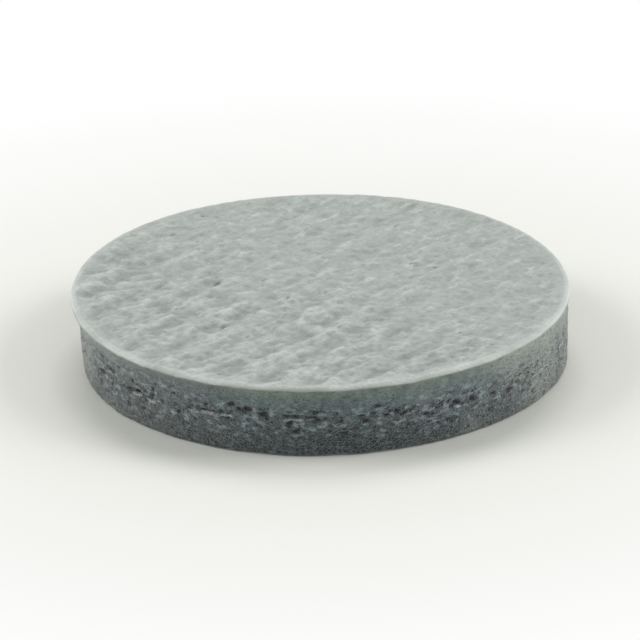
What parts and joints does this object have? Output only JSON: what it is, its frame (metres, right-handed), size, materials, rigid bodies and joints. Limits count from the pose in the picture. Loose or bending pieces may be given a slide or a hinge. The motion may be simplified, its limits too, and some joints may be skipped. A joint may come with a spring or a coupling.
{
  "type": "foam furniture pad",
  "caption": "Round self-adhesive foam pad for the foot of a furniture leg, with a ribbed grip face and a flat adhesive face.",
  "frame": {"origin": "centre of the adhesive face, on the surface that the pad lies on", "axes": "+Z out of the grip face, +X along the ribs, +Y across them"},
  "size_m": [0.05, 0.05, 0.0075],
  "materials": {
    "foam": "matt embossed skin on the grip face, open cut cells on the wall",
    "adhesive": "smooth tacky film"
  },
  "bodies": {
    "root": {"foam_pad": "foam", "adhesive_film": "adhesive"}
  },
  "joints": []
}
